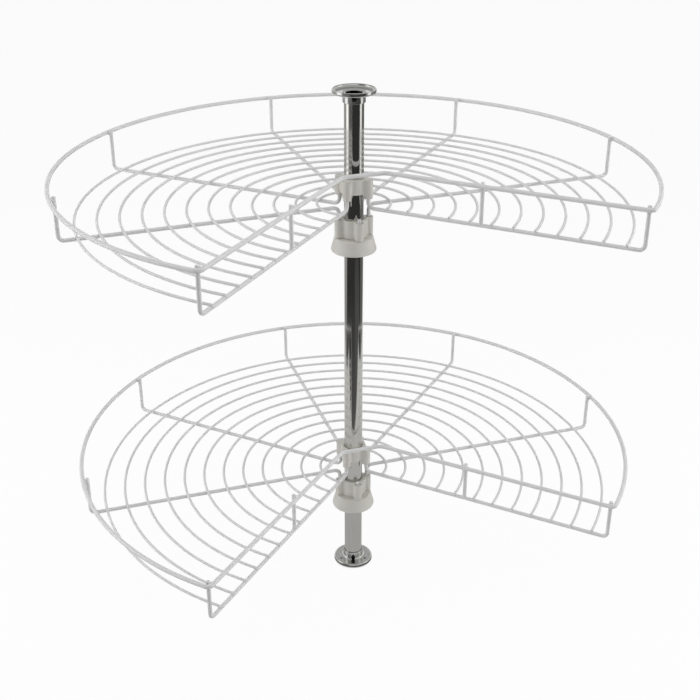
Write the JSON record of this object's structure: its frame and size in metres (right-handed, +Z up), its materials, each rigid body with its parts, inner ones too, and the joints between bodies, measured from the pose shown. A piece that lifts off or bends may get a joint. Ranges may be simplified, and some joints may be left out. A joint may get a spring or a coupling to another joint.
{
  "type": "corner carousel cabinet fitting",
  "caption": "Three-quarter revolving corner carousel: coated wire baskets on moulded hubs that turn about a chromed pole with screw-down flanges.",
  "frame": {"origin": "on the pole's axis, at the bottom flange's mounting face", "axes": "+Z up along the pole; the baskets' open quarter, the notch, faces -Y; +X to the right when looking into the notch towards +Y"},
  "size_m": [0.7548, 0.6551, 0.7],
  "materials": {
    "chrome_plate": "bright chrome plate on steel tube and pressed flanges",
    "coated_wire": "pale grey-white plastic powder coat on welded steel wire, satin",
    "hub_plastic": "moulded warm grey-white acetal, fine matte",
    "black_screw_steel": "black oxide on steel grub screws"
  },
  "bodies": {
    "pole": {"pole_tube": "chrome_plate", "bottom_flange": "chrome_plate", "bottom_flange_grub_screw": "black_screw_steel", "top_flange": "chrome_plate", "top_flange_grub_screw": "black_screw_steel"},
    "upper_carrier": {"upper_cone": "hub_plastic", "upper_cone_grub_screw": "black_screw_steel"},
    "upper_basket": {"upper_rail": "coated_wire", "upper_spoke_1": "coated_wire", "upper_spoke_2": "coated_wire", "upper_spoke_3": "coated_wire", "upper_spoke_4": "coated_wire", "upper_spoke_5": "coated_wire", "upper_spoke_6": "coated_wire", "upper_spoke_7": "coated_wire", "upper_ring_01": "coated_wire", "upper_ring_02": "coated_wire", "upper_ring_03": "coated_wire", "upper_ring_04": "coated_wire", "upper_ring_05": "coated_wire", "upper_ring_06": "coated_wire", "upper_ring_07": "coated_wire", "upper_ring_08": "coated_wire", "upper_ring_09": "coated_wire", "upper_ring_10": "coated_wire", "upper_ring_11": "coated_wire", "upper_ring_12": "coated_wire", "upper_left_mid_post": "coated_wire", "upper_right_mid_post": "coated_wire", "upper_top_collar": "hub_plastic", "upper_bottom_collar": "hub_plastic", "upper_hub_pin": "coated_wire"},
    "lower_carrier": {"lower_cone": "hub_plastic", "lower_cone_grub_screw": "black_screw_steel"},
    "lower_basket": {"lower_rail": "coated_wire", "lower_spoke_1": "coated_wire", "lower_spoke_2": "coated_wire", "lower_spoke_3": "coated_wire", "lower_spoke_4": "coated_wire", "lower_spoke_5": "coated_wire", "lower_spoke_6": "coated_wire", "lower_spoke_7": "coated_wire", "lower_ring_01": "coated_wire", "lower_ring_02": "coated_wire", "lower_ring_03": "coated_wire", "lower_ring_04": "coated_wire", "lower_ring_05": "coated_wire", "lower_ring_06": "coated_wire", "lower_ring_07": "coated_wire", "lower_ring_08": "coated_wire", "lower_ring_09": "coated_wire", "lower_ring_10": "coated_wire", "lower_ring_11": "coated_wire", "lower_ring_12": "coated_wire", "lower_left_mid_post": "coated_wire", "lower_right_mid_post": "coated_wire", "lower_top_collar": "hub_plastic", "lower_bottom_collar": "hub_plastic", "lower_hub_pin": "coated_wire"}
  },
  "joints": [
    {"name": "upper_height", "type": "slide", "parent": "pole", "child": "upper_carrier", "axis": [0, 0, 1], "range_m": [-0.1, 0.06]},
    {"name": "lower_height", "type": "slide", "parent": "pole", "child": "lower_carrier", "axis": [0, 0, 1], "range_m": [-0.06, 0.1]},
    {"name": "upper_spin", "type": "hinge", "parent": "upper_carrier", "child": "upper_basket", "pos_m": [0, 0, 0.55], "axis": [0, 0, 1], "continuous": true},
    {"name": "lower_spin", "type": "hinge", "parent": "lower_carrier", "child": "lower_basket", "pos_m": [0, 0, 0.157], "axis": [0, 0, 1], "continuous": true}
  ]
}
